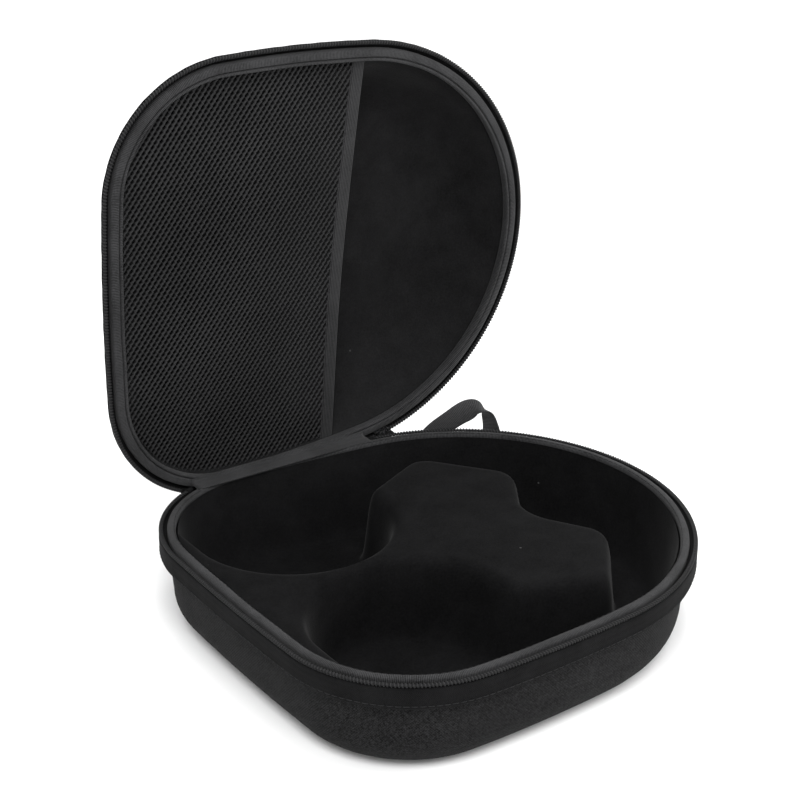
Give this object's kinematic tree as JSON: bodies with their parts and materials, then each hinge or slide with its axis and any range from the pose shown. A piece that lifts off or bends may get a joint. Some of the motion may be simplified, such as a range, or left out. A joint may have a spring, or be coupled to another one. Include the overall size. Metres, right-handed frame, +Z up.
{
  "type": "headphone carrying case",
  "caption": "Hard clamshell case for over-ear headphones: a zipped lid with a mesh pocket, a flocked tray with ear-cup recesses, and a carry loop.",
  "frame": {"origin": "on the flat underside, midway along the base's length and width", "axes": "+X from the ear-cup end towards the rounded headband end, +Y towards the hinge, +Z up out of the base"},
  "size_m": [0.2134, 0.226, 0.2343],
  "materials": {
    "shell": "moulded foam shell with a fine matt woven skin",
    "velvet": "short-pile flock",
    "ribbon": "grosgrain binding, slight sheen",
    "tape": "herringbone zip tape",
    "coil": "semi-gloss nylon coil",
    "mesh": "knitted net with oval holes",
    "webbing": "flat woven webbing",
    "metal": "black satin"
  },
  "bodies": {
    "base": {"base_shell": "shell", "base_tray": "velvet", "base_binding": "ribbon", "base_tape": "tape", "base_coil": "coil", "base_welt": "tape", "base_stop_left": "tape", "base_stop_right": "tape", "base_hinge_leaf": "ribbon", "strap_patch": "ribbon"},
    "lid": {"lid_shell": "shell", "lid_lining": "velvet", "lid_binding": "ribbon", "lid_tape": "tape", "lid_coil": "coil", "lid_welt": "tape", "lid_stop_left": "tape", "lid_stop_right": "tape", "lid_hinge_leaf": "ribbon", "pocket_mesh": "mesh", "pocket_band": "ribbon"},
    "slider": {"zip_slider": "metal"},
    "pull": {"zip_pull": "metal"},
    "strap": {"strap_loop": "webbing"}
  },
  "joints": [
    {"name": "lid_hinge", "type": "hinge", "parent": "base", "child": "lid", "pos_m": [0, 0.0934, 0.04167], "axis": [-1, 0, 0], "range_deg": [-88, 10]},
    {"name": "zip_run", "type": "hinge", "parent": "lid", "child": "slider", "pos_m": [0.0106, 0.09347, 0.13513], "axis": [0, -0.9994, -0.0349], "range_deg": [0, 150]},
    {"name": "pull_swing", "type": "hinge", "parent": "slider", "child": "pull", "pos_m": [0.03273, 0.10031, 0.03948], "axis": [0, 0.9994, 0.0349], "range_deg": [-83, 57]},
    {"name": "strap_swing", "type": "hinge", "parent": "base", "child": "strap", "pos_m": [0.06443, 0.0798, 0.0315], "axis": [-0.829, 0.5592, 0], "range_deg": [0, 95], "stiffness_Nm_per_rad": 0.006}
  ]
}
